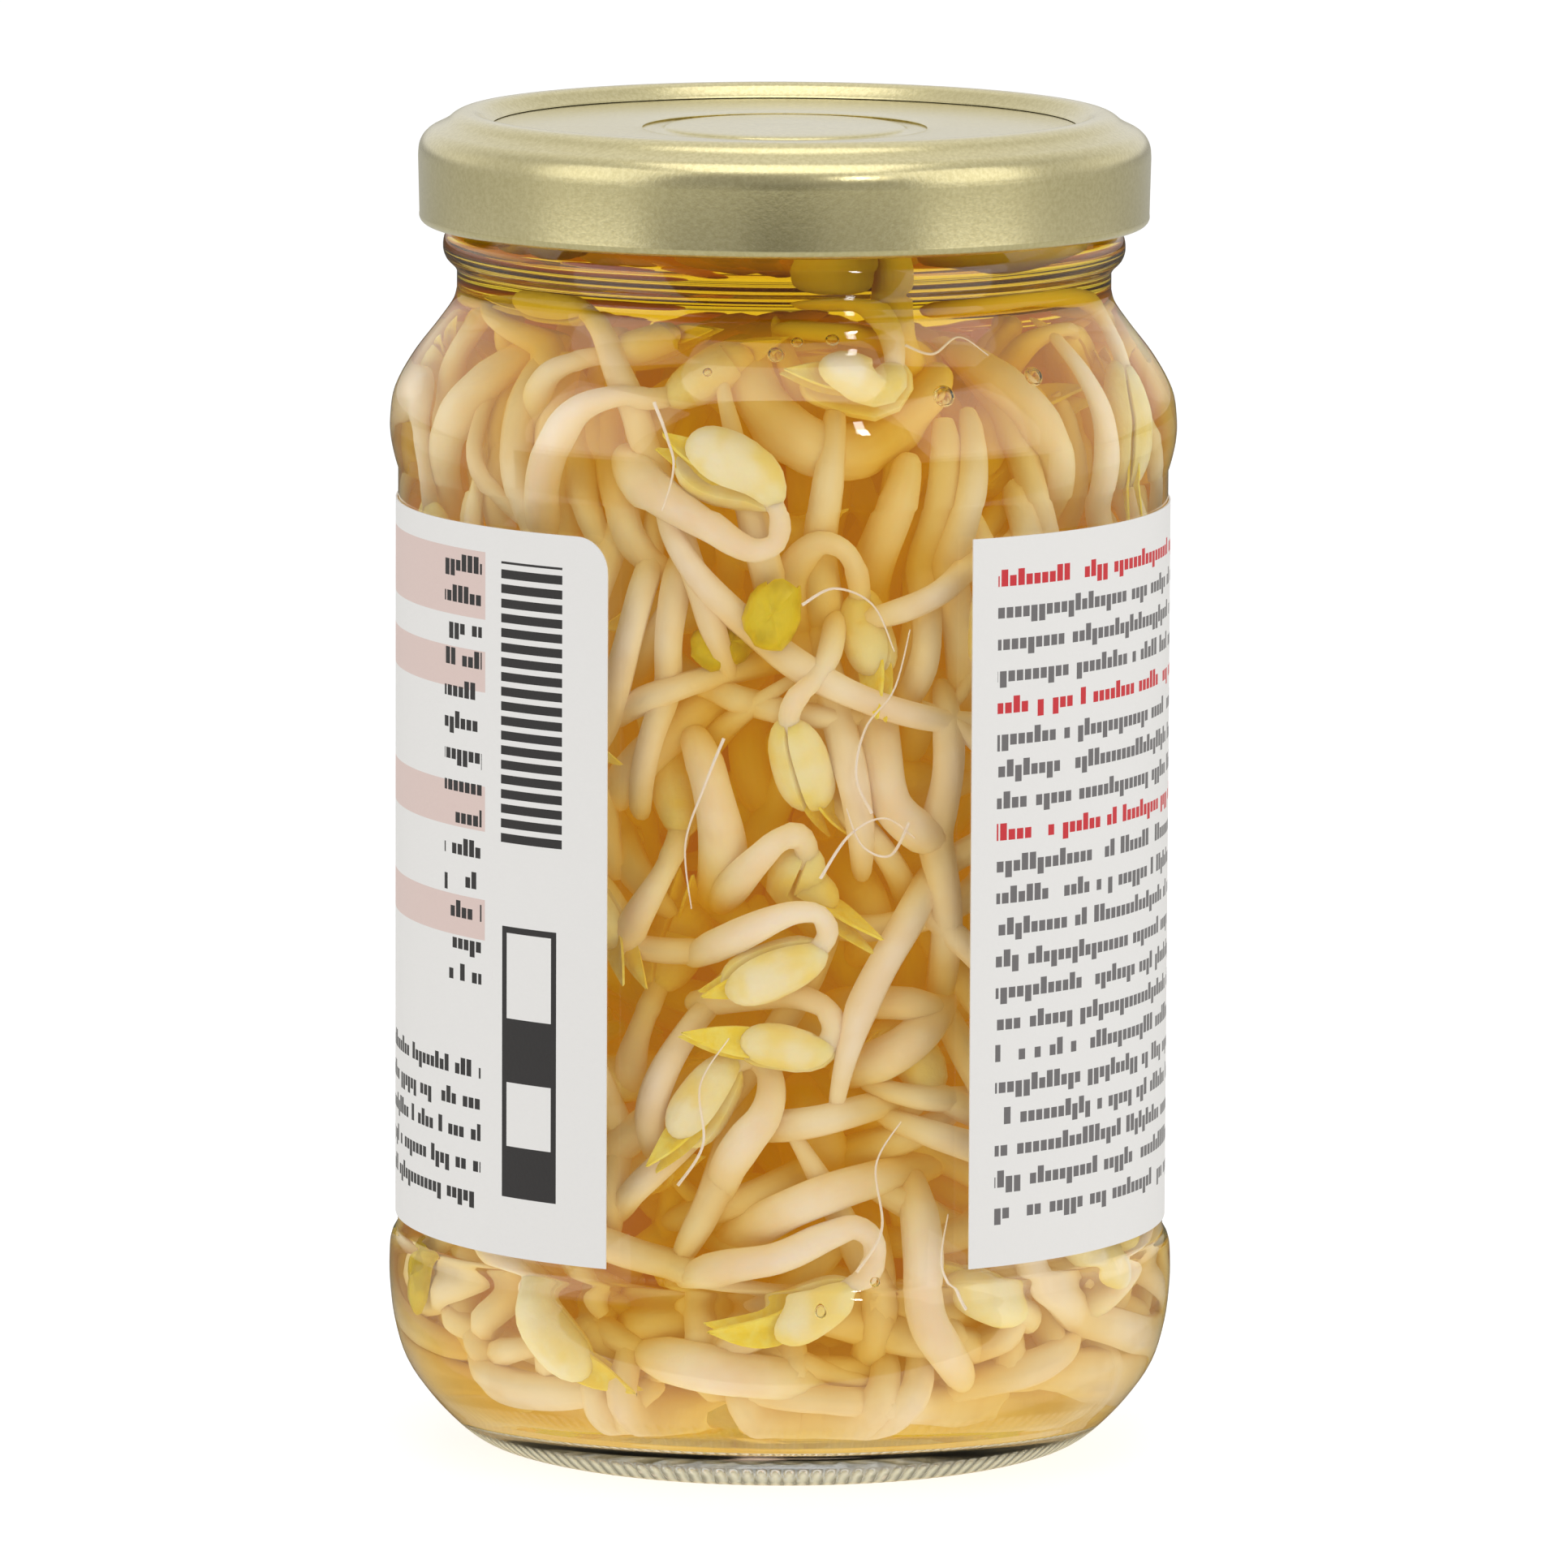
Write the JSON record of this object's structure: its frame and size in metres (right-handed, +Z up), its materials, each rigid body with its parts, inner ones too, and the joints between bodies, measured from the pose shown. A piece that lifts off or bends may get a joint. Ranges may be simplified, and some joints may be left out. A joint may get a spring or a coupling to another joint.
{
  "type": "jar of bean sprouts",
  "caption": "Round glass preserving jar packed with mung bean sprouts in brine, with a paper wrap label and a gold four-lug twist-off lid that turns and lifts.",
  "frame": {"origin": "centre of the jar's foot, on the surface it stands on", "axes": "+Z up along the jar's axis, -Y towards the gap in the label"},
  "size_m": [0.074, 0.074, 0.1255],
  "materials": {
    "glass": "clear flint glass, glossy",
    "gold_lid": "satin gold lacquer on tinplate",
    "seal": "soft off-white sealing compound",
    "label_paper": "coated white label paper",
    "brine": "clear pale amber liquid",
    "sprout": "moist cream flesh, yellow at the seed leaves",
    "seed_coat": "wet olive-yellow bean skin"
  },
  "bodies": {
    "jar": {"jar_glass": "glass", "label": "label_paper", "brine": "brine", "sprouts_01": "sprout", "sprouts_02": "sprout", "sprouts_03": "sprout", "sprouts_04": "sprout", "sprouts_05": "sprout", "sprouts_06": "sprout", "sprouts_07": "sprout", "sprouts_08": "sprout", "sprouts_09": "sprout", "sprouts_10": "sprout", "sprouts_11": "sprout", "sprouts_12": "sprout", "sprouts_13": "sprout", "sprouts_14": "sprout", "sprouts_15": "sprout", "sprouts_16": "sprout", "sprouts_17": "sprout", "sprouts_18": "sprout", "sprouts_19": "sprout", "sprouts_20": "sprout", "sprouts_21": "sprout", "sprouts_22": "sprout", "sprouts_23": "sprout", "sprouts_24": "sprout", "sprouts_25": "sprout", "sprouts_26": "sprout", "sprouts_27": "sprout", "sprouts_28": "sprout", "sprouts_29": "sprout", "sprouts_30": "sprout", "sprouts_31": "sprout", "sprouts_32": "sprout", "sprouts_33": "sprout", "sprouts_34": "sprout", "sprouts_35": "sprout", "sprouts_36": "sprout", "sprouts_37": "sprout", "sprouts_38": "sprout", "sprouts_39": "sprout", "sprouts_40": "sprout", "sprouts_41": "sprout", "sprouts_42": "sprout", "sprouts_43": "sprout", "sprouts_44": "sprout", "sprouts_45": "sprout", "sprouts_46": "sprout", "sprouts_47": "sprout", "sprouts_48": "sprout", "sprouts_49": "sprout", "sprouts_50": "sprout", "seed_coat_1": "seed_coat", "seed_coat_2": "seed_coat", "seed_coat_3": "seed_coat", "seed_coat_4": "seed_coat", "seed_coat_5": "seed_coat"},
    "seal": {"sealing_ring": "seal"},
    "lid": {"lid": "gold_lid"}
  },
  "joints": [
    {"name": "lid_rise", "type": "slide", "parent": "jar", "child": "seal", "axis": [0, 0, 1], "range_m": [0, 0.00218]},
    {"name": "lid_twist", "type": "hinge", "parent": "seal", "child": "lid", "pos_m": [0, 0, 0.12], "axis": [0, 0, 1], "range_deg": [0, 66]}
  ],
  "couplings": [
    {"joint": "lid_twist", "follows": "lid_rise", "rad_per_m": 526.32}
  ]
}
